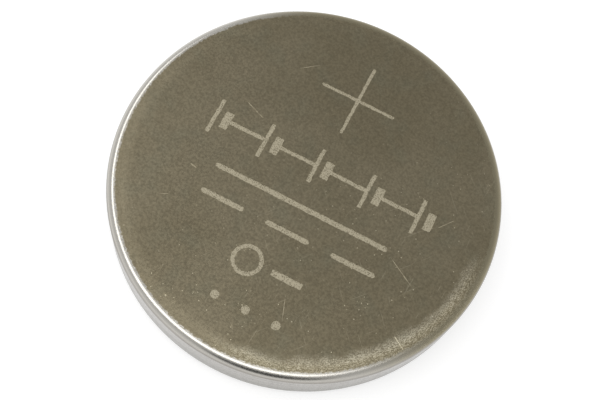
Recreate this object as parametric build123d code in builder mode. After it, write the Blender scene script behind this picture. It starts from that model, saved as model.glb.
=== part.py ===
"""Round lithium coin cell, 20 mm across and 3.2 mm thick.

The cell lies on its negative cap. The origin is the centre of the cap's outer face, +Z runs along
the cell's axis towards the positive face, and the marks on that face read along +X.

Every piece is a body of revolution about Z, apart from the expanded collector and the sunk marks.
From the floor up: cap, lithium, separator, pellet in its ring, collector, can. The gasket fills
the joint between can and cap, and the can's lip is crimped over it.
"""

from math import hypot, sqrt
import os

from build123d import *

# Overall size
cell_diameter = 20.0
cell_height = 3.2

# Positive can: one deep-drawn cup with its lip turned in
can_sheet = 0.25
can_edge_radius = 0.40
can_band_width = 0.70  # the outer band of the face, which falls away to the edge
can_band_fall = 0.03
can_band_blend = 8.0  # radius that runs the flat face into the band
crimp_radius = 0.65
crimp_reach = 0.90  # from the side wall in to the end of the lip
crimp_rise = 0.08  # the lip's end bites up into the gasket by this much

# Negative cap: one stepped cup
cap_sheet = 0.25
cap_stand = 0.15  # from the face to where the wall and the crimped lip would meet
cap_face_radius = 0.45
cap_neck_gap = 0.30  # ring of gasket seen between lip and cap
cap_step_radius = 0.15
cap_step_rise = 0.20
cap_skirt_radius = 0.35

# Gasket: one moulded ring with a groove for the cap's skirt
gasket_wall = 0.35
gasket_base = 0.45
gasket_pinch = 0.20  # left under the crimped lip
gasket_tip_sink = 0.10  # how far the ring seen between lip and cap lies below the lip
gasket_lip = 0.40
gasket_lip_stand = 0.15  # from the cap's step up to the end of the inner lip

# What the can holds
anode_thickness = 0.65
anode_margin = 0.60
separator_thickness = 0.20
separator_clearance = 0.05
ring_sheet = 0.10
ring_height = 1.20
ring_flange = 1.20
ring_gap = 0.50
collector_clearance = 0.20
collector_border = 0.40
mesh_long = 2.0  # pitch of the diamond openings
mesh_short = 1.2
mesh_strand = 0.20

# Marks sunk in the positive face
mark_depth = 0.02
legend_margin = 1.44  # clear of the band all round
legend_shift = 0.25
plus_size = 4.18
plus_line = 0.18
plate_tall = 2.0
plate_short = 1.0
plate_thin = 0.22
plate_thick = 0.44
plate_gap = 0.62
plate_corner = 0.04
plate_pairs = 5
direct_length = 9.6
direct_height = 1.8
direct_line = 0.28
direct_dashes = 3
direct_gap = 1.2
coin_diameter = 1.65
coin_line = 0.22
coin_side = 0.34
coin_gap = 0.50
dot_diameter = 0.46
dot_pitch = 1.65
dot_count = 3

# Places that follow from the sizes above
outer_radius = cell_diameter / 2
can_inside_radius = outer_radius - can_sheet
can_floor = cell_height - can_sheet
face_flat_radius = outer_radius - can_edge_radius - can_band_width
band_slope = can_band_fall / can_band_width
can_edge_height = cell_height - band_slope * (outer_radius - face_flat_radius)
lip_end_radius = outer_radius - crimp_reach
lip_end_height = cap_stand + crimp_rise
skirt_top = can_floor - can_band_fall - gasket_base
neck_radius = lip_end_radius - cap_neck_gap
neck_height = lip_end_height + can_sheet + gasket_pinch
step_height = neck_height + cap_step_rise
skirt_radius = can_inside_radius - gasket_wall
gasket_inside_radius = skirt_radius - cap_sheet - gasket_lip
gasket_tip_height = lip_end_height + gasket_tip_sink
gasket_lip_height = step_height + cap_sheet + gasket_lip_stand
anode_radius = neck_radius - cap_sheet - anode_margin
anode_top = cap_sheet + anode_thickness
separator_radius = neck_radius - cap_sheet - separator_clearance
separator_top = anode_top + separator_thickness
ring_radius = gasket_inside_radius - ring_gap
pellet_radius = ring_radius - ring_sheet
pellet_top = can_floor - ring_sheet
collector_radius = ring_radius - ring_flange - collector_clearance

# Outer line of the can, from the axis over the edge to the end of the crimped lip
can_line = [
    (0, cell_height),
    (face_flat_radius, cell_height),
    (outer_radius, can_edge_height),
    (outer_radius, cap_stand),
    (lip_end_radius, lip_end_height),
]
can_bends = [can_band_blend, can_edge_radius, crimp_radius]

# Outer line of the cap, from the axis to the top of its skirt
cap_line = [
    (0, 0),
    (neck_radius, 0),
    (neck_radius, neck_height),
    (skirt_radius, step_height),
    (skirt_radius, skirt_top),
]
cap_bends = [cap_face_radius, cap_step_radius, cap_skirt_radius]

# Rows of marks, top to bottom, spread evenly over the circle that the legend fills
legend_radius = face_flat_radius - legend_margin
row_heights = [plus_size, plate_tall, direct_height, coin_diameter, dot_diameter]
row_gap = (2 * legend_radius - sum(row_heights)) / (len(row_heights) - 1)
row_centres = [
    legend_radius - sum(row_heights[:i]) - i * row_gap - row_heights[i] / 2
    for i in range(len(row_heights))
]
plus_y, plates_y, direct_y, coin_y, dots_y = row_centres
plates_length = 2 * sqrt(legend_radius**2 - (abs(plates_y) + plate_tall / 2) ** 2)
plate_pitch = plates_length / plate_pairs


def plus_marks():
    """Polarity cross of two thin strokes with round ends."""
    with Locations((legend_shift, plus_y)):
        SlotOverall(plus_size, plus_line)
        SlotOverall(plus_size, plus_line, rotation=90)


def plate_marks():
    """Row of cell symbols: a tall thin plate and a short thick one, joined by leads."""
    lead = plate_pitch - plate_gap
    first = legend_shift - plates_length / 2 + plate_pitch / 2
    for pair in range(plate_pairs):
        middle = first + pair * plate_pitch
        with Locations((middle - plate_gap / 2, plates_y)):
            RectangleRounded(plate_thin, plate_tall, plate_corner)
        with Locations((middle + plate_gap / 2, plates_y)):
            RectangleRounded(plate_thick, plate_short, plate_corner)
        with Locations((middle + plate_pitch / 2, plates_y)):
            if pair < plate_pairs - 1:
                Rectangle(lead, plate_thin)


def direct_marks():
    """Direct-current sign: a line over a row of dashes."""
    offset_y = (direct_height - direct_line) / 2
    dash = (direct_length - direct_gap * (direct_dashes - 1)) / direct_dashes
    with Locations((legend_shift, direct_y + offset_y)):
        SlotOverall(direct_length, direct_line)
    with Locations((legend_shift, direct_y - offset_y)):
        with GridLocations(dash + direct_gap, 1, direct_dashes, 1):
            SlotOverall(dash, direct_line)


def coin_marks():
    """The cell's own outline, seen from above and from the side."""
    reach = (coin_diameter + coin_gap) / 2
    with Locations((legend_shift - reach, coin_y)):
        Circle(coin_diameter / 2)
        Circle(coin_diameter / 2 - coin_line, mode=Mode.SUBTRACT)
    with Locations((legend_shift + reach, coin_y)):
        RectangleRounded(coin_diameter, coin_side, plate_corner)


def dot_marks():
    """Row of dots."""
    with Locations((legend_shift, dots_y)):
        with GridLocations(dot_pitch, 1, dot_count, 1):
            Circle(dot_diameter / 2)


# Positive can
with BuildPart() as positive_can:
    with BuildSketch(Plane.XZ) as can_section:
        with BuildLine():
            FilletPolyline(*can_line, radius=can_bends)
            offset(amount=can_sheet, side=Side.RIGHT)
        make_face()
    revolve(axis=Axis.Z)
    with BuildSketch(Plane.XY.offset(cell_height)):
        plus_marks()
        plate_marks()
        direct_marks()
        coin_marks()
        dot_marks()
    extrude(amount=-mark_depth, mode=Mode.SUBTRACT)

# Negative cap
with BuildPart() as negative_cap:
    with BuildSketch(Plane.XZ) as cap_section:
        with BuildLine():
            FilletPolyline(*cap_line, radius=cap_bends)
            offset(amount=cap_sheet, side=Side.LEFT)
        make_face()
    revolve(axis=Axis.Z)

# Sealing gasket: what the can leaves around the cap's skirt. Its outline runs through the middle
# of both sheets, which are then cut away from it.
with BuildPart() as sealing_gasket:
    with BuildSketch(Plane.XZ) as gasket_section:
        with BuildLine():
            FilletPolyline(*can_line, radius=can_bends)
            Polyline(can_line[-1], (0, lip_end_height), can_line[0])
        make_face()
        with BuildLine():
            Polyline(
                (gasket_inside_radius, cell_height - can_sheet / 2),
                (outer_radius, cell_height - can_sheet / 2),
                (outer_radius, gasket_tip_height),
                (neck_radius, gasket_tip_height),
                (neck_radius, neck_height + cap_sheet / 2),
                (skirt_radius - cap_sheet / 2, step_height + cap_sheet / 2),
                (skirt_radius - cap_sheet / 2, gasket_lip_height),
                (gasket_inside_radius, gasket_lip_height),
                close=True,
            )
        make_face(mode=Mode.INTERSECT)
        add(can_section.sketch_local, mode=Mode.SUBTRACT)
        add(cap_section.sketch_local, mode=Mode.SUBTRACT)
    revolve(axis=Axis.Z)

# Lithium anode: a disc of foil pressed on the inside of the cap
with BuildPart() as lithium_anode:
    with BuildSketch(Plane.XY.offset(cap_sheet)):
        Circle(anode_radius)
    extrude(amount=anode_thickness)

# Separator: a disc of non-woven polypropylene
with BuildPart() as separator:
    with BuildSketch(Plane.XY.offset(anode_top)):
        Circle(separator_radius)
    extrude(amount=separator_thickness)

# Cathode pellet: a pressed disc that fills what is left of the height
with BuildPart() as cathode_pellet:
    with BuildSketch(Plane.XY.offset(separator_top)):
        Circle(pellet_radius)
    extrude(amount=pellet_top - separator_top)

# Cathode ring: a pressed ring of L section around the pellet's upper edge
with BuildPart() as cathode_ring:
    with BuildSketch(Plane.XZ):
        with BuildLine():
            Polyline(
                (ring_radius - ring_flange, can_floor),
                (ring_radius, can_floor),
                (ring_radius, can_floor - ring_height),
                (pellet_radius, can_floor - ring_height),
                (pellet_radius, pellet_top),
                (ring_radius - ring_flange, pellet_top),
                close=True,
            )
        make_face()
    revolve(axis=Axis.Z)

# Current collector: a disc of expanded steel inside the ring's flange
mesh_half_long = mesh_long / 2
mesh_half_short = mesh_short / 2
mesh_inset = 1 - mesh_strand / 2 * hypot(1 / mesh_half_long, 1 / mesh_half_short)
opening_long = mesh_half_long * mesh_inset
opening_short = mesh_half_short * mesh_inset
mesh_reach = int(cell_diameter / mesh_short)
mesh_limit = collector_radius - collector_border
opening_places = [
    (i * mesh_half_long, j * mesh_half_short)
    for i in range(-mesh_reach, mesh_reach + 1)
    for j in range(-mesh_reach, mesh_reach + 1)
    if (i + j) % 2 == 0
    and hypot(abs(i) * mesh_half_long + opening_long, j * mesh_half_short) < mesh_limit
    and hypot(i * mesh_half_long, abs(j) * mesh_half_short + opening_short) < mesh_limit
]
with BuildPart() as current_collector:
    with BuildSketch(Plane.XY.offset(pellet_top)):
        Circle(collector_radius)
        with Locations(*opening_places):
            Polygon(
                (opening_long, 0),
                (0, opening_short),
                (-opening_long, 0),
                (0, -opening_short),
                mode=Mode.SUBTRACT,
            )
    extrude(amount=ring_sheet)

pieces = {
    "positive_can": positive_can,
    "negative_cap": negative_cap,
    "sealing_gasket": sealing_gasket,
    "lithium_anode": lithium_anode,
    "separator": separator,
    "cathode_pellet": cathode_pellet,
    "cathode_ring": cathode_ring,
    "current_collector": current_collector,
}
os.makedirs("parts", exist_ok=True)
for name, piece in pieces.items():
    piece.part.label = name
    export_step(piece.part, f"parts/{name}.step")
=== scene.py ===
import math

import bmesh
import bpy
import numpy as np
from mathutils import Matrix, Vector
from mathutils.geometry import delaunay_2d_cdt


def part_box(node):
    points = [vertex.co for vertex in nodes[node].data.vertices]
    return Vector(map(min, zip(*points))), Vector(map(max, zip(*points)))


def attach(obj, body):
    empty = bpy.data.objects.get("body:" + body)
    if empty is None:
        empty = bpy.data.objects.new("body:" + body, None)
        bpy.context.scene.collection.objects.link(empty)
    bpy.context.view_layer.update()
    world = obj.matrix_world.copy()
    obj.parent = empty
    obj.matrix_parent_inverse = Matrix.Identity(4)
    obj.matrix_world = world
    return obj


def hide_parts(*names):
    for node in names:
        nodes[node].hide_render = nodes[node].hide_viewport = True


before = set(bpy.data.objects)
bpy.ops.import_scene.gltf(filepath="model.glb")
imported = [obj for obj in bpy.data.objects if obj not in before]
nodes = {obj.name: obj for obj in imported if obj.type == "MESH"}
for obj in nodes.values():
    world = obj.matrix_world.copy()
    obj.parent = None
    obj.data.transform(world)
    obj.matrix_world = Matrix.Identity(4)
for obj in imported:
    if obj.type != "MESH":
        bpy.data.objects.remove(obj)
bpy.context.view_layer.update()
mm = 0.001
canLow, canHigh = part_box("positive_can")
capLow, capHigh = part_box("negative_cap")
outerRadius = canHigh.x / mm  # every length below is in mm until it goes into a mesh
cellHeight = canHigh.z / mm
print("frame loaded", round(outerRadius, 3), round(cellHeight, 3))

# Camera: looks steeply down on the positive face, a little turned and tilted
cameraSet = {
    "elevation": 69.1,
    "azimuth": 12.25,
    "roll": 15.4,
    "distance": 55.0,
    "lens": 64.1,
    "sensor": 36.0,
    "aimRight": -0.24,  # the cell stands a little right of the middle and above it
    "aimUp": -0.28,
}


def makeCamera(c):
    e, a, roll = (math.radians(c[k]) for k in ("elevation", "azimuth", "roll"))
    right = Vector((math.cos(a), math.sin(a), 0))
    back = Vector((math.sin(a) * math.cos(e), -math.cos(a) * math.cos(e), math.sin(e)))
    up = back.cross(right)
    x = right * math.cos(roll) + up * math.sin(roll)
    y = up * math.cos(roll) - right * math.sin(roll)
    data = bpy.data.cameras.new("camera")
    data.lens = c["lens"]
    data.sensor_width = c["sensor"]
    data.clip_start = 0.001
    data.clip_end = 10
    camera = bpy.data.objects.new("camera", data)
    bpy.context.scene.collection.objects.link(camera)
    centre = Vector((0, 0, cellHeight / 2)) + x * c["aimRight"] + y * c["aimUp"]
    place = (centre + back * c["distance"]) * mm
    camera.matrix_world = Matrix.Translation(place) @ Matrix((x, y, back)).transposed().to_4x4()
    bpy.context.scene.camera = camera


makeCamera(cameraSet)
print("camera made")


# Profiles and surfaces
def roundedLine(corners, radii, arcStep=math.radians(6), guard=0.03):
    # Straight runs joined by tangent arcs. An arc of radius r in a corner that turns by t starts
    # r tan(t/2) before the corner, and its points step evenly round its centre. A guard point on
    # the run beside each arc keeps the shading of the run flat.
    corners = np.asarray(corners, float)
    line = [corners[0]]
    for before, here, after, radius in zip(corners, corners[1:], corners[2:], radii):
        one = (here - before) / np.linalg.norm(here - before)
        two = (after - here) / np.linalg.norm(after - here)
        turn = math.atan2(one[0] * two[1] - one[1] * two[0], one @ two)
        reach = radius * math.tan(abs(turn) / 2)
        normal = np.array((-one[1], one[0])) * math.copysign(1, turn)
        centre = here - one * reach + normal * radius
        count = max(3, math.ceil(abs(turn) / arcStep))
        angles = np.linspace(0, turn, count + 1)[:, None]
        spoke = -normal * radius
        turned = np.array((-spoke[1], spoke[0]))
        line.append(here - one * (reach + guard))
        line.extend(centre + spoke * np.cos(angles) + turned * np.sin(angles))
        line.append(here + two * (reach + guard))
    line.append(corners[-1])
    return np.array(line)


def shiftedCorners(corners, distance):
    # Each corner moves to where its two runs meet after both have moved sideways by the distance
    corners = np.asarray(corners, float)
    runs = np.diff(corners, axis=0)
    runs /= np.linalg.norm(runs, axis=1)[:, None]
    left = np.stack((-runs[:, 1], runs[:, 0]), 1)
    both = left[:-1] + left[1:]
    middle = both / (1 + np.sum(left[:-1] * left[1:], axis=1))[:, None]
    moves = np.vstack((left[:1], middle, left[-1:]))
    return corners + moves * distance


def spunSurface(profile, turns=360):
    # Point (i, j) is profile point i, (r, z), turned about Z by 2 pi j / turns:
    # x = r cos, y = r sin. Quads join neighbours, and the grid closes on itself in j.
    angles = np.arange(turns) * 2 * math.pi / turns
    r, z = profile[:, :1], profile[:, 1:]
    grid = np.stack((r * np.cos(angles), r * np.sin(angles), z + 0 * angles), -1)
    i, j = np.meshgrid(np.arange(len(profile) - 1), np.arange(turns), indexing="ij")
    here, beside = i * turns + j, i * turns + (j + 1) % turns
    quads = np.stack((here, beside, beside + turns, here + turns), -1).reshape(-1, 4)
    return grid.reshape(-1, 3), quads


def makePiece(name, points, faces, materials, faceMaterials=None, flatFaces=None):
    # Points in mm go into a mesh in metres. Doubled points are merged, so poles and joins close,
    # and the normals are then turned outwards.
    mesh = bpy.data.meshes.new(name)
    mesh.from_pydata((points * mm).tolist(), [], [list(f) for f in faces])
    for material in materials:
        mesh.materials.append(material)
    if faceMaterials is not None:
        mesh.polygons.foreach_set("material_index", np.asarray(faceMaterials, np.int32))
    smooth = np.ones(len(faces), bool) if flatFaces is None else ~flatFaces
    mesh.polygons.foreach_set("use_smooth", smooth)
    work = bmesh.new()
    work.from_mesh(mesh)
    bmesh.ops.remove_doubles(work, verts=work.verts, dist=1e-4 * mm)
    bmesh.ops.dissolve_degenerate(work, edges=work.edges, dist=1e-5 * mm)
    bmesh.ops.recalc_face_normals(work, faces=work.faces)
    open_ = sum(not e.is_manifold for e in work.edges)
    work.to_mesh(mesh)
    work.free()
    piece = bpy.data.objects.new(name, mesh)
    bpy.context.scene.collection.objects.link(piece)
    print(name, len(mesh.polygons), "faces, open edges", open_)
    return piece


# Node helpers
def linear(code, alpha=1.0):
    # an sRGB hex colour as linear values
    parts = [int(code[i:i + 2], 16) / 255 for i in (1, 3, 5)]
    return (*(p / 12.92 if p <= 0.04045 else ((p + 0.055) / 1.055) ** 2.4 for p in parts), alpha)


def add(tree, kind, inputs=None, **settings):
    # adds a node, sets its own settings, then sets or links its inputs
    made = tree.nodes.new(kind)
    for key, value in settings.items():
        setattr(made, key, value)
    for key, value in (inputs or {}).items():
        if isinstance(value, bpy.types.NodeSocket):
            tree.links.new(value, made.inputs[key])
        else:
            made.inputs[key].default_value = value
    return made


def math2(tree, operation, a, b=0.0, clamp=False):
    return add(tree, "ShaderNodeMath", {0: a, 1: b}, operation=operation, use_clamp=clamp).outputs[0]


def ranged(tree, value, low, high, outLow=0.0, outHigh=1.0):
    # a smooth step from outLow at low to outHigh at high
    inputs = {"Value": value, "From Min": low, "From Max": high, "To Min": outLow, "To Max": outHigh}
    return add(tree, "ShaderNodeMapRange", inputs, interpolation_type="SMOOTHSTEP").outputs[0]


def blended(tree, factor, a, b, kind="MIX"):
    mix = add(tree, "ShaderNodeMix", {0: factor}, data_type="RGBA", blend_type=kind)
    for key, value in ((6, a), (7, b)):
        if isinstance(value, bpy.types.NodeSocket):
            tree.links.new(value, mix.inputs[key])
        else:
            mix.inputs[key].default_value = value
    return mix.outputs[2]


def stroke(tree, where, start, end, width):
    # one short scratch: near where the distance to the line from start to end is small
    run = Vector((*end, 0)) - Vector((*start, 0))
    away = add(tree, "ShaderNodeVectorMath", {0: where, 1: (*start, 0)}, operation="SUBTRACT").outputs[0]
    share = add(tree, "ShaderNodeVectorMath", {0: away, 1: run / run.length_squared}, operation="DOT_PRODUCT")
    share = math2(tree, "ADD", share.outputs["Value"], 0.0, clamp=True)
    nearest = add(tree, "ShaderNodeVectorMath", {0: run, "Scale": share}, operation="SCALE").outputs[0]
    off = add(tree, "ShaderNodeVectorMath", {0: away, 1: nearest}, operation="DISTANCE").outputs["Value"]
    return ranged(tree, off, width / 2, width / 5)


def newMaterial(name):
    # returns the material, its tree, its shader and its Object coordinates turned to mm
    material = bpy.data.materials.new(name)
    material.use_nodes = True
    tree = material.node_tree
    shader = tree.nodes["Principled BSDF"]
    where = add(tree, "ShaderNodeTexCoord").outputs["Object"]
    inMm = add(tree, "ShaderNodeMapping", {"Vector": where, "Scale": (1 / mm,) * 3}).outputs[0]
    return material, tree, shader, inMm


def noise(tree, where, size, detail=3.0, roughness=0.55):
    # grain whose blobs are about size mm across
    inputs = {"Vector": where, "Scale": 0.5 / size, "Detail": detail, "Roughness": roughness}
    return add(tree, "ShaderNodeTexNoise", inputs).outputs["Fac"]


def hairlines(tree, where, angle, length, width, low, high):
    # fine scratches: noise drawn out along one direction, with only its crests kept
    turned = add(tree, "ShaderNodeMapping", {"Vector": where, "Rotation": (0, 0, math.radians(angle))})
    drawn = add(tree, "ShaderNodeMapping", {"Vector": turned.outputs[0], "Scale": (1 / length, 1 / width, 1)})
    inputs = {"Vector": drawn.outputs[0], "Scale": 0.5, "Detail": 1.0, "Roughness": 0.4}
    return ranged(tree, add(tree, "ShaderNodeTexNoise", inputs).outputs["Fac"], low, high)


def specks(tree, where, spacing, size, share):
    # small round pits in a random share of the cells of a Voronoi pattern
    cells = add(tree, "ShaderNodeTexVoronoi", {"Vector": where, "Scale": 1 / spacing})
    dot = ranged(tree, cells.outputs["Distance"], size / spacing, 0.4 * size / spacing)
    chance = add(tree, "ShaderNodeSeparateColor", {0: cells.outputs["Color"]}).outputs[0]
    return math2(tree, "MULTIPLY", dot, math2(tree, "LESS_THAN", chance, share))


# Can: nickel-plated deep-drawing steel. The face is satin and warm from handling, and darkened by a painted
# reflection of dark surroundings; the wall was ironed bright by the drawing die, and the edge is rubbed where
# cells slide on each other.
canFinish = {
    # face and faceDark are darker than bare nickel: the dark surroundings that the satin face reflects are
    # painted into them, a painted reflection
    "face": "#7d7561",
    "faceDark": "#756d59",
    "faceGreen": "#767564",
    "edge": "#bbb8b1",
    "edgeShadeSide": "#89826d",
    "shadeSideAngle": 45,  # middle of the side where the edge gets painted shade, away from the softboxes
    "wall": "#a4a09a",
    "wallDark": "#807c75",
    # painted shade: the wall's colour towards its foot, standing in for the shadowed floor it reflects
    "wallFootShade": "#6f6c64",
    # painted reflection: the rubbed colour is pale partly for the bright studio that the sloping band reflects
    "rubbedSheen": "#d6cfb9",
    "rubbedGold": "#978a66",
    "speck": "#cfc6ac",
    "faceRough": 0.36,
    "wallRough": 0.22,
    "edgeStart": 0.50,  # from the wall in to where the wall's finish ends
    "edgeEnd": 0.38,
    "edgeRagged": 0.04,
    "rubSheenAngle": -44,  # middle of the rubbed stretch of edge, which is also lightened by a painted reflection
    "rubSheenReach": 1.30,
    "grain": 0.06,  # mm, drawn a little coarser than the real satin so that it shows
    "grainDepth": 0.004,
    "drawLines": 0.05,  # mm between the die's lines round the wall
    "nick": ((7.2, -5.05), (7.8, -5.4), 0.06),
}


def nickelPlatedSteel(c):
    # warm grey metal with a fine even grain, cloudy tone, small pits and hairlines, and a pale scuffed band along
    # one stretch of the edge that is also a painted reflection; painted shade darkens the wall's foot and the top
    # edge on the side away from the softboxes
    material, tree, shader, where = newMaterial("nickelPlatedSteelWornPaintedLight")
    parts = add(tree, "ShaderNodeSeparateXYZ", {0: where}).outputs
    flat = add(tree, "ShaderNodeCombineXYZ", {0: parts[0], 1: parts[1]}).outputs[0]
    radius = add(tree, "ShaderNodeVectorMath", {0: flat}, operation="LENGTH").outputs["Value"]
    ragged = ranged(tree, noise(tree, where, 0.07), 0.3, 0.7, -c["edgeRagged"], c["edgeRagged"])
    edgeAt = math2(tree, "ADD", radius, ragged)
    isWall = ranged(tree, edgeAt, outerRadius - c["edgeStart"], outerRadius - c["edgeEnd"])
    cloud = noise(tree, where, 3.0)
    colour = blended(tree, ranged(tree, cloud, 0.35, 0.65), linear(c["face"]), linear(c["faceDark"]))
    green = ranged(tree, noise(tree, where, 0.8), 0.45, 0.75, 0.0, 0.3)
    colour = blended(tree, green, colour, linear(c["faceGreen"]))
    grain = noise(tree, where, c["grain"], 2.0, 0.7)
    shade = ranged(tree, grain, 0.25, 0.75, 0.85, 1.13)
    tone = add(tree, "ShaderNodeCombineColor", {0: shade, 1: shade, 2: shade}).outputs[0]
    colour = blended(tree, 1.0, colour, tone, "MULTIPLY")
    # more pits and hairlines on the side that is rubbed
    a = math.radians(c["rubSheenAngle"])
    aside = {0: where, 1: (math.cos(a), math.sin(a), 0)}
    towards = add(tree, "ShaderNodeVectorMath", aside, operation="DOT_PRODUCT").outputs["Value"]
    handled = ranged(tree, towards, -4, 7, 0.12, 1.0)
    pits = math2(tree, "ADD", specks(tree, where, 0.7, 0.055, 0.35), specks(tree, where, 0.24, 0.035, 0.40))
    pits = math2(tree, "MULTIPLY", pits, handled)
    lines = hairlines(tree, where, 48, 0.6, 0.04, 0.70, 0.80)
    lines = math2(tree, "ADD", lines, hairlines(tree, where, -50, 0.8, 0.04, 0.70, 0.80))
    lines = math2(tree, "ADD", lines, hairlines(tree, where, 95, 0.4, 0.04, 0.70, 0.80))
    lines = math2(tree, "MULTIPLY", lines, math2(tree, "MULTIPLY", handled, 0.14))
    marks = math2(tree, "ADD", math2(tree, "MULTIPLY", pits, 0.7), lines, clamp=True)
    marks = math2(tree, "MAXIMUM", marks, math2(tree, "MULTIPLY", stroke(tree, flat, *c["nick"]), 0.7))
    colour = blended(tree, marks, colour, linear(c["speck"]))
    # the rubbed band, scuffed wear lightened as a painted reflection of the bright side of the studio: strongest
    # at its middle angle and made of fine lines that run along the edge
    inward = math2(tree, "SUBTRACT", outerRadius, radius)
    wander = ranged(tree, noise(tree, where, 0.9), 0.3, 0.7, -0.18, 0.18)
    wandering = math2(tree, "ADD", inward, wander)
    rubSheenBand = ranged(tree, wandering, c["rubSheenReach"], 0.62)
    rubSheenBand = math2(tree, "MULTIPLY", rubSheenBand, ranged(tree, inward, 0.25, 0.80, 0.35, 1.0))
    share = math2(tree, "DIVIDE", towards, radius)
    rubSheenBand = math2(tree, "MULTIPLY", rubSheenBand, ranged(tree, share, 0.60, 0.90, 0.05, 1.0))
    turn = math2(tree, "ARCTAN2", parts[1], parts[0])
    unrolled = {0: radius, 1: math2(tree, "MULTIPLY", turn, 2.2)}
    rings = noise(tree, add(tree, "ShaderNodeCombineXYZ", unrolled).outputs[0], 0.028, 4.0, 0.8)
    scuffs = math2(tree, "ADD", rings, noise(tree, where, 0.03, 2.0, 0.8))
    rubSheenBand = math2(tree, "MULTIPLY", rubSheenBand, ranged(tree, scuffs, 0.88, 1.14, 0.12, 1.0))
    # the outer part wears through to a golden tone, the inner part stays grey
    golden = math2(tree, "MULTIPLY", ranged(tree, scuffs, 1.20, 0.90), ranged(tree, inward, 1.0, 0.6))
    rubbedSheen = blended(tree, golden, linear(c["rubbedSheen"]), linear(c["rubbedGold"]))
    colour = blended(tree, math2(tree, "MULTIPLY", rubSheenBand, 0.80), colour, rubbedSheen)
    # the wall carries the drawing die's fine lines all the way round, and the top edge is polished; painted shade
    # darkens it on the side away from the softboxes and at the wall's foot
    around = add(tree, "ShaderNodeMapping", {"Vector": where, "Scale": (0.02, 0.02, 1)}).outputs[0]
    drawn = noise(tree, around, c["drawLines"], 4.0, 0.75)
    steel = blended(tree, ranged(tree, drawn, 0.35, 0.70), linear(c["wall"]), linear(c["wallDark"]))
    polished = ranged(tree, parts[2], cellHeight - 0.30, cellHeight - 0.15)
    # painted shade: the top edge takes a dark colour like the face on the side away from the softboxes, where it
    # reflects no lamp
    d = math.radians(c["shadeSideAngle"])
    shadeSideAxis = {0: where, 1: (math.cos(d), math.sin(d), 0)}
    shadeSide = add(tree, "ShaderNodeVectorMath", shadeSideAxis, operation="DOT_PRODUCT").outputs["Value"]
    shadeSide = ranged(tree, math2(tree, "DIVIDE", shadeSide, radius), -0.15, 0.40)
    top = blended(tree, shadeSide, linear(c["edge"]), linear(c["edgeShadeSide"]))
    top = blended(tree, math2(tree, "MULTIPLY", rubSheenBand, math2(tree, "MULTIPLY", shadeSide, 0.6)), top, rubbedSheen)
    # painted shade: the wall darkens towards its foot, in place of the shadowed floor that it would reflect there
    low = ranged(tree, parts[2], 2.5, 1.0, 0.0, 0.7)
    steel = blended(tree, low, steel, linear(c["wallFootShade"]))
    steel = blended(tree, polished, steel, top)
    colour = blended(tree, isWall, colour, steel)
    tree.links.new(colour, shader.inputs["Base Color"])
    shader.inputs["Metallic"].default_value = 1.0
    rough = ranged(tree, grain, 0.3, 0.7, c["faceRough"] - 0.04, c["faceRough"] + 0.04)
    rough = math2(tree, "ADD", rough, math2(tree, "MULTIPLY", rubSheenBand, 0.12))
    rough = math2(tree, "ADD", rough, math2(tree, "MULTIPLY", isWall, c["wallRough"] - c["faceRough"]))
    tree.links.new(rough, shader.inputs["Roughness"])
    height = math2(tree, "SUBTRACT", grain, math2(tree, "MULTIPLY", marks, 1.5))
    depth = math2(tree, "MULTIPLY", height, math2(tree, "SUBTRACT", 1.0, math2(tree, "MULTIPLY", isWall, 0.8)))
    bump = add(tree, "ShaderNodeBump", {"Height": depth, "Distance": c["grainDepth"] * mm, "Strength": 1.0})
    tree.links.new(bump.outputs[0], shader.inputs["Normal"])
    return material


etchFinish = {"low": "#7d7561", "high": "#ada58f", "stipple": 0.045, "rough": 0.6, "depth": 0.010}


def etchedSteel(c):
    # laser-etched steel: the beam leaves a pale, pricked, matt floor
    material, tree, shader, where = newMaterial("steelLaserEtched")
    stipple = noise(tree, where, c["stipple"], 2.0, 0.7)
    pricks = add(tree, "ShaderNodeTexVoronoi", {"Vector": where, "Scale": 1 / (1.6 * c["stipple"])})
    height = math2(tree, "ADD", stipple, pricks.outputs["Distance"])
    colour = blended(tree, ranged(tree, height, 0.60, 1.05), linear(c["low"]), linear(c["high"]))
    tree.links.new(colour, shader.inputs["Base Color"])
    shader.inputs["Metallic"].default_value = 0.75
    shader.inputs["Roughness"].default_value = c["rough"]
    bump = add(tree, "ShaderNodeBump", {"Height": height, "Distance": c["depth"] * mm, "Strength": 1.0})
    tree.links.new(bump.outputs[0], shader.inputs["Normal"])
    return material


scratchFinish = {"colour": "#b4ab93", "dark": "#8b826d", "rough": 0.5}


def scratchedSteel(c):
    # bare steel in a fresh scratch, brighter and broken along its length
    material, tree, shader, where = newMaterial("steelScratched")
    broken = ranged(tree, noise(tree, where, 0.2), 0.35, 0.65)
    colour = blended(tree, broken, linear(c["dark"]), linear(c["colour"]))
    tree.links.new(colour, shader.inputs["Base Color"])
    shader.inputs["Metallic"].default_value = 1.0
    shader.inputs["Roughness"].default_value = c["rough"]
    return material


# Outlines of the marks, in mm
def slotOutline(x, y, length, width, angle=0.0):
    # two half circles of the width, joined by straight sides
    turn = np.radians(angle)
    half = np.linspace(-math.pi / 2, math.pi / 2, 9)
    end = np.stack((np.cos(half), np.sin(half)), 1) * width / 2
    shape = np.vstack((end + ((length - width) / 2, 0), -end - ((length - width) / 2, 0)))
    spin = np.array(((math.cos(turn), math.sin(turn)), (-math.sin(turn), math.cos(turn))))
    return shape @ spin + (x, y)


def barOutline(x, y, width, height):
    return np.array(((-1, -1), (1, -1), (1, 1), (-1, 1))) * (width / 2, height / 2) + (x, y)


def circleOutline(x, y, diameter):
    turns = np.linspace(0, 2 * math.pi, 48, endpoint=False)
    return np.stack((np.cos(turns), np.sin(turns)), 1) * diameter / 2 + (x, y)


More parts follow.
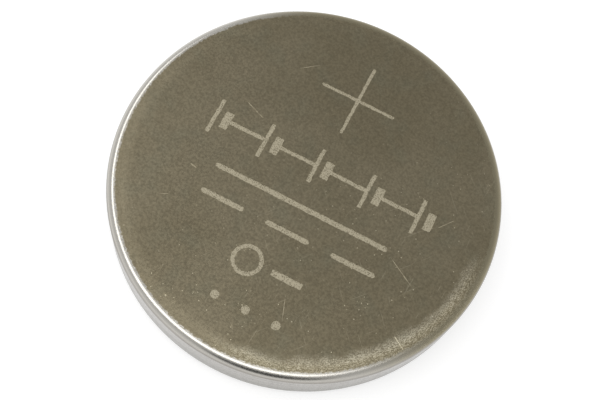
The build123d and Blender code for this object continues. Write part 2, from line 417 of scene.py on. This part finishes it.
def scratchOutline(start, end, width):
    # a lens: widest in the middle and drawn out to nothing at its ends
    start, end = np.array(start), np.array(end)
    along = (end - start) / np.linalg.norm(end - start)
    across = np.array((-along[1], along[0])) * width / 2
    t = np.linspace(0, 1, 12)[:, None]
    line = start + (end - start) * t
    swell = across * np.sin(math.pi * t) ** 0.7
    return np.vstack((line + swell, (line - swell)[-2:0:-1]))


def roughOutline(outline, spacing, jitter, rng):
    # points every spacing along the closed outline, each moved by smoothed random steps
    closed = np.vstack((outline, outline[:1]))
    lengths = np.r_[0, np.cumsum(np.linalg.norm(np.diff(closed, axis=0), axis=1))]
    count = max(8, int(lengths[-1] / spacing))
    places = np.arange(count) * lengths[-1] / count
    even = np.stack([np.interp(places, lengths, closed[:, k]) for k in (0, 1)], 1)
    steps = rng.normal(0, jitter, (count, 2))
    return even + 0.5 * steps + 0.25 * (np.roll(steps, 1, 0) + np.roll(steps, -1, 0))


legend = {
    "margin": 1.44,  # from the legend's circle out to the falling band
    "shift": 0.25,
    "depth": 0.02,
    "plusSize": 4.18,
    "plusLine": 0.18,
    "plateTall": 2.0,
    "plateShort": 1.0,
    "plateThin": 0.22,
    "plateThick": 0.44,
    "plateGap": 0.62,
    "platePairs": 5,
    "directLength": 9.6,
    "directHeight": 1.8,
    "directLine": 0.28,
    "directDashes": 3,
    "directGap": 1.2,
    "coinDiameter": 1.65,
    "coinLine": 0.22,
    "coinSide": 0.34,
    "coinGap": 0.50,
    "dotDiameter": 0.46,
    "dotPitch": 1.65,
    "spacing": 0.06,
    "jitter": 0.015,  # the beam's edge is ragged
    "seed": 7,
}


def legendOutlines(c, flatRadius):
    # generic circuit signs in five rows, spread evenly over the legend's circle. The last value
    # of a pair says whether the outline is cut back out of the mark, as in a ring.
    reach = flatRadius - c["margin"]
    tall = [c[k] for k in ("plusSize", "plateTall", "directHeight", "coinDiameter", "dotDiameter")]
    gap = (2 * reach - sum(tall)) / (len(tall) - 1)
    rows = [reach - sum(tall[:i]) - i * gap - tall[i] / 2 for i in range(len(tall))]
    x, (plusY, plateY, directY, coinY, dotY) = c["shift"], rows
    shapes = [(slotOutline(x, plusY, c["plusSize"], c["plusLine"], a), False) for a in (0, 90)]
    pitch = 2 * math.sqrt(reach**2 - (abs(plateY) + c["plateTall"] / 2) ** 2) / c["platePairs"]
    for i in range(c["platePairs"]):
        middle = x + (i - (c["platePairs"] - 1) / 2) * pitch
        thin, thick = middle - c["plateGap"] / 2, middle + c["plateGap"] / 2
        shapes.append((barOutline(thin, plateY, c["plateThin"], c["plateTall"]), False))
        shapes.append((barOutline(thick, plateY, c["plateThick"], c["plateShort"]), False))
        if i < c["platePairs"] - 1:
            lead = barOutline(middle + pitch / 2, plateY, pitch - c["plateGap"], c["plateThin"])
            shapes.append((lead, False))
    side = (c["directHeight"] - c["directLine"]) / 2
    dash = (c["directLength"] - c["directGap"] * (c["directDashes"] - 1)) / c["directDashes"]
    shapes.append((slotOutline(x, directY + side, c["directLength"], c["directLine"]), False))
    for i in range(c["directDashes"]):
        dashX = x + (i - (c["directDashes"] - 1) / 2) * (dash + c["directGap"])
        shapes.append((slotOutline(dashX, directY - side, dash, c["directLine"]), False))
    half = (c["coinDiameter"] + c["coinGap"]) / 2
    shapes.append((circleOutline(x - half, coinY, c["coinDiameter"]), False))
    shapes.append((circleOutline(x - half, coinY, c["coinDiameter"] - 2 * c["coinLine"]), True))
    shapes.append((barOutline(x + half, coinY, c["coinDiameter"], c["coinSide"]), False))
    shapes += [(circleOutline(x + i * c["dotPitch"], dotY, c["dotDiameter"]), False) for i in (-1, 0, 1)]
    return shapes


# Scratches deep enough to be cut: start, end and width in mm
scratches = {
    "depth": 0.006,
    "lines": [
        ((-4.8, 2.55), (-3.6, 2.1), 0.055),
        ((-5.65, -1.85), (-5.25, -1.95), 0.08),
        ((5.3, -1.5), (6.9, -2.4), 0.045),
        ((-6.3, -4.05), (-5.8, -3.8), 0.05),
        ((1.6, -5.6), (2.1, -7.0), 0.035),
        ((6.75, 0.95), (7.4, 1.8), 0.04),
        ((-2.2, 6.4), (-3.3, 5.5), 0.035),
    ],
}


def insideOutline(points, outline):
    # a point is inside where a ray from it to the right crosses the outline an odd number of times
    x, y = points[:, :1], points[:, 1:]
    a, b = outline, np.roll(outline, -1, 0)
    crosses = (a[:, 1] > y) != (b[:, 1] > y)
    rise = np.where(b[:, 1] == a[:, 1], 1e-12, b[:, 1] - a[:, 1])
    reach = a[:, 0] + (y - a[:, 1]) * (b[:, 0] - a[:, 0]) / rise
    return np.sum(crosses & (x < reach), axis=1) % 2 == 1


def sunkDisc(radius, turns, z, groups, depths):
    # A flat disc at height z whose outlines are sunk. All outlines are triangulated with the rim,
    # each triangle gets the level of the outline that holds it, its points go down by that
    # level's depth, and a wall quad closes each edge between two levels.
    angles = np.arange(turns) * 2 * math.pi / turns
    rim = np.stack((np.cos(angles), np.sin(angles)), 1) * radius
    loops = [rim] + [outline for group in groups for outline, _ in group]
    starts = np.cumsum([0] + [len(loop) for loop in loops])
    flat = np.vstack(loops)
    edges = [(s + i, s + (i + 1) % len(loop)) for s, loop in zip(starts, loops) for i in range(len(loop))]
    made = delaunay_2d_cdt([Vector(p) for p in flat], edges, [], 0, 1e-6)
    xy = np.array([tuple(v) for v in made[0]])
    triangles = np.array([f for f in made[2] if len(f) == 3])
    middles = xy[triangles].mean(1)
    level = np.zeros(len(triangles), int)
    for k, group in enumerate(groups, 1):
        held = np.zeros(len(triangles), bool)
        for outline, cutBack in group:
            inside = insideOutline(middles, outline)
            held = held & ~inside if cutBack else held | inside
        level[held] = k
    count = len(xy)
    keys, index = np.unique(triangles + count * level[:, None], return_inverse=True)
    index = index.reshape(triangles.shape)
    points = np.column_stack((xy[keys % count], z - np.asarray(depths)[keys // count]))
    sides = np.vstack([triangles[:, (i, (i + 1) % 3)] for i in range(3)])
    sides.sort(axis=1)
    sideLevel = np.tile(level, 3)
    order = np.lexsort((sides[:, 1], sides[:, 0]))
    sides, sideLevel = sides[order], sideLevel[order]
    same = np.all(sides[1:] == sides[:-1], axis=1) & (sideLevel[1:] != sideLevel[:-1])
    a, b = sides[:-1][same].T
    one, two = sideLevel[:-1][same], sideLevel[1:][same]
    corners = (a + count * one, b + count * one, b + count * two, a + count * two)
    walls = np.stack([np.searchsorted(keys, corner) for corner in corners], 1)
    faces = [tuple(f) for f in index] + [tuple(f) for f in walls]
    materials = np.r_[level, np.maximum(one, two)]
    return points, faces, materials


# Can: a deep-drawn cup, its lip turned in under the gasket
canShape = {
    "sheet": 0.25,
    "edge": 0.40,
    "bandWidth": 0.70,
    "bandFall": 0.03,
    "bandBlend": 8.0,
    "crimp": 0.65,
    "crimpReach": 0.90,
    "crimpRise": 0.08,
    "stand": 0.15,
    "lipEnd": 0.05,  # the cut lip is rounded this much
    "turns": 360,
}


def makeCan(c, mark, cut):
    flatRadius = outerRadius - c["edge"] - c["bandWidth"]
    edgeHeight = cellHeight - c["bandFall"] / c["bandWidth"] * (outerRadius - flatRadius)
    outside = [
        (0, cellHeight),
        (flatRadius, cellHeight),
        (outerRadius, edgeHeight),
        (outerRadius, c["stand"]),
        (outerRadius - c["crimpReach"], c["stand"] + c["crimpRise"]),
    ]
    bends = [c["bandBlend"], c["edge"], c["crimp"]]
    inside = shiftedCorners(outside, -c["sheet"])[::-1]
    inner = [bend - c["sheet"] for bend in bends[::-1]]
    section = roundedLine([*outside, *inside], [*bends, c["lipEnd"], c["lipEnd"], *inner])
    section = section[1:]  # the flat inside the first bend is the disc with the marks
    shell, quads = spunSurface(section, c["turns"])
    rng = np.random.default_rng(mark["seed"])
    signs = [
        (roughOutline(outline, mark["spacing"], mark["jitter"], rng), cutBack)
        for outline, cutBack in legendOutlines(mark, flatRadius)
    ]
    lines = [(scratchOutline(*line), False) for line in cut["lines"]]
    depths = (0, cut["depth"], mark["depth"])
    disc, faces, kinds = sunkDisc(section[0][0], c["turns"], cellHeight, [lines, signs], depths)
    points = np.vstack((shell, disc))
    allFaces = [tuple(q) for q in quads] + [tuple(len(shell) + i for i in f) for f in faces]
    materials = [nickelPlatedSteel(canFinish), scratchedSteel(scratchFinish), etchedSteel(etchFinish)]
    kinds = np.r_[np.zeros(len(quads), int), kinds]
    flatFaces = np.arange(len(allFaces)) >= len(quads)
    piece = makePiece("canShell", points, allFaces, materials, kinds, flatFaces)
    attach(piece, "root")
    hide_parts("positive_can")
    return piece


makeCan(canShape, legend, scratches)
print("can made")

# Cap: a stepped cup of the same steel, bright from the press and lightly brushed
capShape = {
    "sheet": 0.25,
    "neckGap": 0.30,
    "face": 0.45,
    "step": 0.15,
    "skirt": 0.35,
    "pinch": 0.20,
    "rise": 0.20,
    "end": 0.05,
    "turns": 300,
}
capFinish = {"light": "#b9b5a9", "dark": "#a29d8f", "rough": 0.34, "grain": 0.08, "depth": 0.003}


def satinSteel(name, c):
    # rolled stainless sheet: fine drawn-out grain along the rolling direction, with a few
    # hairlines and a cloudy tone from handling
    material, tree, shader, where = newMaterial(name)
    rolled = add(tree, "ShaderNodeMapping", {"Vector": where, "Scale": (0.12, 1, 1)}).outputs[0]
    grain = noise(tree, rolled, c["grain"], 3.0, 0.6)
    cloud = noise(tree, where, 2.5)
    colour = blended(tree, ranged(tree, cloud, 0.3, 0.7), linear(c["light"]), linear(c["dark"]))
    lines = hairlines(tree, where, 20, 2.5, 0.05, 0.68, 0.78)
    pits = specks(tree, where, 0.8, 0.05, 0.2)
    marks = math2(tree, "ADD", math2(tree, "MULTIPLY", lines, 0.5), math2(tree, "MULTIPLY", pits, 0.5))
    colour = blended(tree, marks, colour, linear("#d8d5cb"))
    tree.links.new(colour, shader.inputs["Base Color"])
    shader.inputs["Metallic"].default_value = 1.0
    rough = ranged(tree, grain, 0.3, 0.7, c["rough"] - 0.05, c["rough"] + 0.05)
    tree.links.new(rough, shader.inputs["Roughness"])
    bump = add(tree, "ShaderNodeBump", {"Height": grain, "Distance": c["depth"] * mm, "Strength": 1.0})
    tree.links.new(bump.outputs[0], shader.inputs["Normal"])
    return material


def makeCap(c, can):
    lipHeight = can["stand"] + can["crimpRise"]
    neck = outerRadius - can["crimpReach"] - c["neckGap"]
    neckHeight = lipHeight + can["sheet"] + c["pinch"]
    skirt = capHigh.x / mm
    top = capHigh.z / mm
    outside = [(0, 0), (neck, 0), (neck, neckHeight), (skirt, neckHeight + c["rise"]), (skirt, top)]
    bends = [c["face"], c["step"], c["skirt"]]
    inside = shiftedCorners(outside, c["sheet"])[::-1]
    inner = [c["skirt"] - c["sheet"], c["step"] + c["sheet"], c["face"] - c["sheet"]]
    section = roundedLine([*outside, *inside], [*bends, c["end"], c["end"], *inner])
    points, quads = spunSurface(section, c["turns"])
    piece = makePiece("capShell", points, quads, [satinSteel("stainlessSheetRolled", capFinish)])
    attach(piece, "root")
    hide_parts("negative_cap")
    return neck, neckHeight, skirt, top


neck, neckHeight, skirt, skirtTop = makeCap(capShape, canShape)
print("cap made")

# Gasket: moulded polypropylene, squeezed between can and cap
gasketShape = {
    "clear": 0.01,  # kept from both sheets, so that faces don't share a place
    "tipSink": 0.10,
    "lip": 0.40,
    "lipStand": 0.15,
    "turns": 300,
}
gasketFinish = {"colour": "#c9c6ba", "shade": "#b7b3a5", "rough": 0.42, "grain": 0.15}


def mouldedPolypropylene(c):
    # natural polypropylene: milky, waxy and slightly see-through
    material, tree, shader, where = newMaterial("polypropyleneMoulded")
    cloud = noise(tree, where, c["grain"])
    colour = blended(tree, ranged(tree, cloud, 0.3, 0.7), linear(c["colour"]), linear(c["shade"]))
    tree.links.new(colour, shader.inputs["Base Color"])
    shader.inputs["Roughness"].default_value = c["rough"]
    shader.inputs["IOR"].default_value = 1.49
    shader.inputs["Subsurface Weight"].default_value = 0.25
    shader.inputs["Subsurface Radius"].default_value = (1.0, 0.9, 0.7)
    shader.inputs["Subsurface Scale"].default_value = 0.4 * mm
    bump = add(tree, "ShaderNodeBump", {"Height": cloud, "Distance": 0.004 * mm, "Strength": 1.0})
    tree.links.new(bump.outputs[0], shader.inputs["Normal"])
    return material


def makeGasket(c, can, cap):
    clear = c["clear"]
    lipRadius = outerRadius - can["crimpReach"]
    lipHeight = can["stand"] + can["crimpRise"]
    wall = outerRadius - can["sheet"] - clear
    floor = lipHeight + can["sheet"] + clear
    roof = cellHeight - can["sheet"] - can["bandFall"] - clear
    tip = lipHeight + c["tipSink"]
    inner = skirt - cap["sheet"]
    stepTop = neckHeight + cap["rise"]
    lipEnd = stepTop + cap["sheet"] + c["lipStand"]
    corners = [
        (wall - 1.0, roof),
        (wall, roof),
        (wall, floor),
        (lipRadius - clear, floor + 0.02),
        (lipRadius - clear - 0.01, tip),
        (neck + clear, tip),
        (neck + clear, neckHeight - clear),
        (skirt + clear, stepTop - clear),
        (skirt + clear, skirtTop + clear),
        (inner - clear, skirtTop + clear),
        (inner - clear, lipEnd),
        (inner - c["lip"], lipEnd),
        (inner - c["lip"], roof),
        (wall - 1.0, roof),
    ]
    radii = [
        can["edge"] - can["sheet"],
        can["crimp"] - can["sheet"] - clear,
        0.03,
        0.05,
        0.03,
        cap["step"],
        cap["skirt"],
        0.05,
        0.05,
        0.06,
        0.06,
        0.04,
    ]
    points, quads = spunSurface(roundedLine(corners, radii, guard=0.005), c["turns"])
    piece = makePiece("gasketRing", points, quads, [mouldedPolypropylene(gasketFinish)])
    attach(piece, "root")
    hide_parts("sealing_gasket")


makeGasket(gasketShape, canShape, capShape)
print("gasket made")

# Pieces sealed inside keep their CAD meshes and get their own finishes
insideFinishes = {
    "ring_steel": {"light": "#b8b4aa", "dark": "#a19c90", "rough": 0.32, "grain": 0.06, "depth": 0.002},
    "mesh_steel": {"light": "#a9a59a", "dark": "#8f8a7e", "rough": 0.45, "grain": 0.05, "depth": 0.004},
}


def grainyMaterial(name, light, dark, grain, depth, rough, metallic=0.0, detail=4.0):
    # two tones and a relief from one noise of real grain size
    material, tree, shader, where = newMaterial(name)
    blobs = noise(tree, where, grain, detail, 0.65)
    colour = blended(tree, ranged(tree, blobs, 0.3, 0.7), linear(light), linear(dark))
    tree.links.new(colour, shader.inputs["Base Color"])
    shader.inputs["Metallic"].default_value = metallic
    shader.inputs["Roughness"].default_value = rough
    bump = add(tree, "ShaderNodeBump", {"Height": blobs, "Distance": depth * mm, "Strength": 1.0})
    tree.links.new(bump.outputs[0], shader.inputs["Normal"])
    return material


def separatorFleece():
    # melt-blown polypropylene: white matt fleece of fine crossed fibres
    material, tree, shader, where = newMaterial("polypropyleneFleece")
    fibres = hairlines(tree, where, 15, 1.2, 0.06, 0.45, 0.65)
    for angle in (70, 125):
        fibres = math2(tree, "MAXIMUM", fibres, hairlines(tree, where, angle, 1.2, 0.06, 0.45, 0.65))
    colour = blended(tree, fibres, linear("#d9d8d2"), linear("#f1f0ec"))
    tree.links.new(colour, shader.inputs["Base Color"])
    shader.inputs["Roughness"].default_value = 0.9
    bump = add(tree, "ShaderNodeBump", {"Height": fibres, "Distance": 0.02 * mm, "Strength": 1.0})
    tree.links.new(bump.outputs[0], shader.inputs["Normal"])
    return material


insideMaterials = {
    "cathode_ring": satinSteel("steelPressed", insideFinishes["ring_steel"]),
    "current_collector": satinSteel("steelExpanded", insideFinishes["mesh_steel"]),
    # lithium foil: soft silver that has dulled, with rolling marks
    "lithium_anode": grainyMaterial("lithiumFoilRolled", "#b9babd", "#9b9c9f", 0.3, 0.006, 0.5, 1.0),
    "separator": separatorFleece(),
    # manganese dioxide pressed with carbon: black, matt and slightly gritty
    "cathode_pellet": grainyMaterial("manganeseDioxidePressed", "#2b2a29", "#191818", 0.08, 0.01, 0.85),
}
for name, material in insideMaterials.items():
    slots = nodes[name].material_slots
    if slots:
        slots[0].material = material
    else:
        nodes[name].data.materials.append(material)
print("inside finished")

# Studio: a pale floor, a soft sky with a dark flag on the camera's side, and two level softboxes
# overhead. A softbox's four slopes say how far it reaches, left to right and near to far, for
# each mm of height above the cell.
studio = {
    "floorSize": 1200,
    "floorShade": "#cbcbcb",
    "floorGlow": 0.58,
    "skyLow": 1.0,
    "skyTop": 0.64,
    "flagTowards": (0.05, -0.84, 0.54),
    "flagReach": (26, 15),  # degrees from its middle to where it starts and to where it is full
    "flagLevel": 0.12,
    "boxHeight": 150,
    "boxLight": 2.2,  # how much brighter than a white sky
    "leftBox": (-0.84, -0.45, 0.0, 0.85),
    "nearBox": (-0.84, 0.25, -0.42, 0.0),
}


viewTurn = Matrix.Rotation(math.radians(cameraSet["azimuth"]), 3, "Z")  # lights turn with the view


def makeFloor(c):
    # matt white card; its glow lifts it to white for the eye and for what reflects it
    material, tree, shader, _ = newMaterial("cardWhite")
    rays = add(tree, "ShaderNodeLightPath").outputs
    seen = math2(tree, "MAXIMUM", rays["Is Camera Ray"], rays["Is Glossy Ray"])
    seen = math2(tree, "MAXIMUM", seen, rays["Is Transmission Ray"])
    shader.inputs["Base Color"].default_value = linear(c["floorShade"])
    shader.inputs["Roughness"].default_value = 1.0
    shader.inputs["Specular IOR Level"].default_value = 0.0
    shader.inputs["Emission Color"].default_value = (1, 1, 1, 1)
    tree.links.new(math2(tree, "MULTIPLY", seen, c["floorGlow"]), shader.inputs["Emission Strength"])
    half = c["floorSize"] / 2 * mm
    mesh = bpy.data.meshes.new("floor")
    mesh.from_pydata([(-half, -half, 0), (half, -half, 0), (half, half, 0), (-half, half, 0)], [], [(0, 1, 2, 3)])
    mesh.materials.append(material)
    floor = bpy.data.objects.new("floor", mesh)
    bpy.context.scene.collection.objects.link(floor)


def makeSky(c):
    world = bpy.data.worlds.new("sky")
    bpy.context.scene.world = world
    world.use_nodes = True
    tree = world.node_tree
    direction = add(tree, "ShaderNodeTexCoord").outputs["Generated"]
    height = add(tree, "ShaderNodeSeparateXYZ", {0: direction}).outputs[2]
    level = ranged(tree, height, 0.0, 0.95, c["skyLow"], c["skyTop"])
    towards = (viewTurn @ Vector(c["flagTowards"])).normalized()
    near = add(tree, "ShaderNodeVectorMath", {0: direction, 1: towards}, operation="DOT_PRODUCT")
    start, full = (math.cos(math.radians(angle)) for angle in c["flagReach"])
    flag = ranged(tree, near.outputs["Value"], start, full, 1.0, c["flagLevel"])
    background = tree.nodes["Background"].inputs
    background["Color"].default_value = (1, 1, 1, 1)
    tree.links.new(math2(tree, "MULTIPLY", level, flag), background["Strength"])


def makeBox(name, c):
    # a level softbox that shines straight down; its power gives the same light whatever its size
    left, right, near, far = (slope * c["boxHeight"] * mm for slope in c[name])
    lamp = bpy.data.lights.new(name, "AREA")
    lamp.shape = "RECTANGLE"
    lamp.size = right - left
    lamp.size_y = far - near
    lamp.energy = c["boxLight"] * math.pi * lamp.size * lamp.size_y
    box = bpy.data.objects.new(name, lamp)
    bpy.context.scene.collection.objects.link(box)
    box.location = viewTurn @ Vector(((left + right) / 2, (near + far) / 2, c["boxHeight"] * mm))
    box.rotation_euler = viewTurn.to_euler()


makeFloor(studio)
makeSky(studio)
makeBox("leftBox", studio)
makeBox("nearBox", studio)
bpy.context.scene.view_settings.view_transform = "Standard"
print("studio made")
